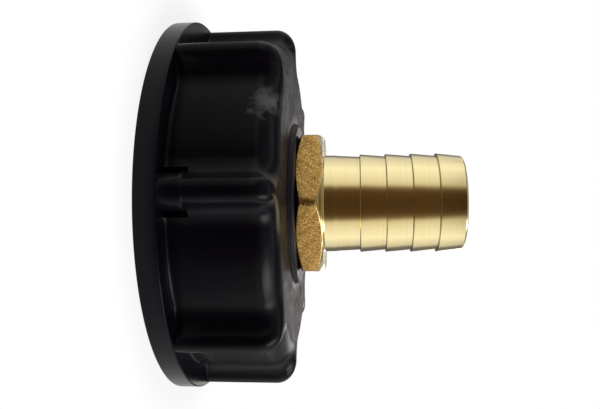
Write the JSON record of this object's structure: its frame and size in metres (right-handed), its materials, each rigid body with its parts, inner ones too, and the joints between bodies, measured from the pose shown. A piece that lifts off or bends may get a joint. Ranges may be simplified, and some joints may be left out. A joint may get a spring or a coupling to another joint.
{
  "type": "ibc tap adapter",
  "caption": "Ribbed screw cap with a coarse female thread and a flat seal, and a brass hose tail with a spanner hexagon and barbs in its top, joining a hose to a tank valve.",
  "frame": {"origin": "centre of the mouth face of the cap, on the axis; the part stands on this face", "axes": "+Z along the common axis, out of the hose end; the rib with the lug at its foot points along -Y"},
  "size_m": [0.076, 0.076, 0.0572],
  "materials": {
    "cap": "glossy black moulding, faintly scuffed",
    "hose_tail": "turned and barely polished, with cast faces on the hexagon",
    "seal_ring": "matt black"
  },
  "bodies": {
    "root": {"cap": "cap", "hose_tail": "hose_tail", "seal_ring": "seal_ring"}
  },
  "joints": []
}
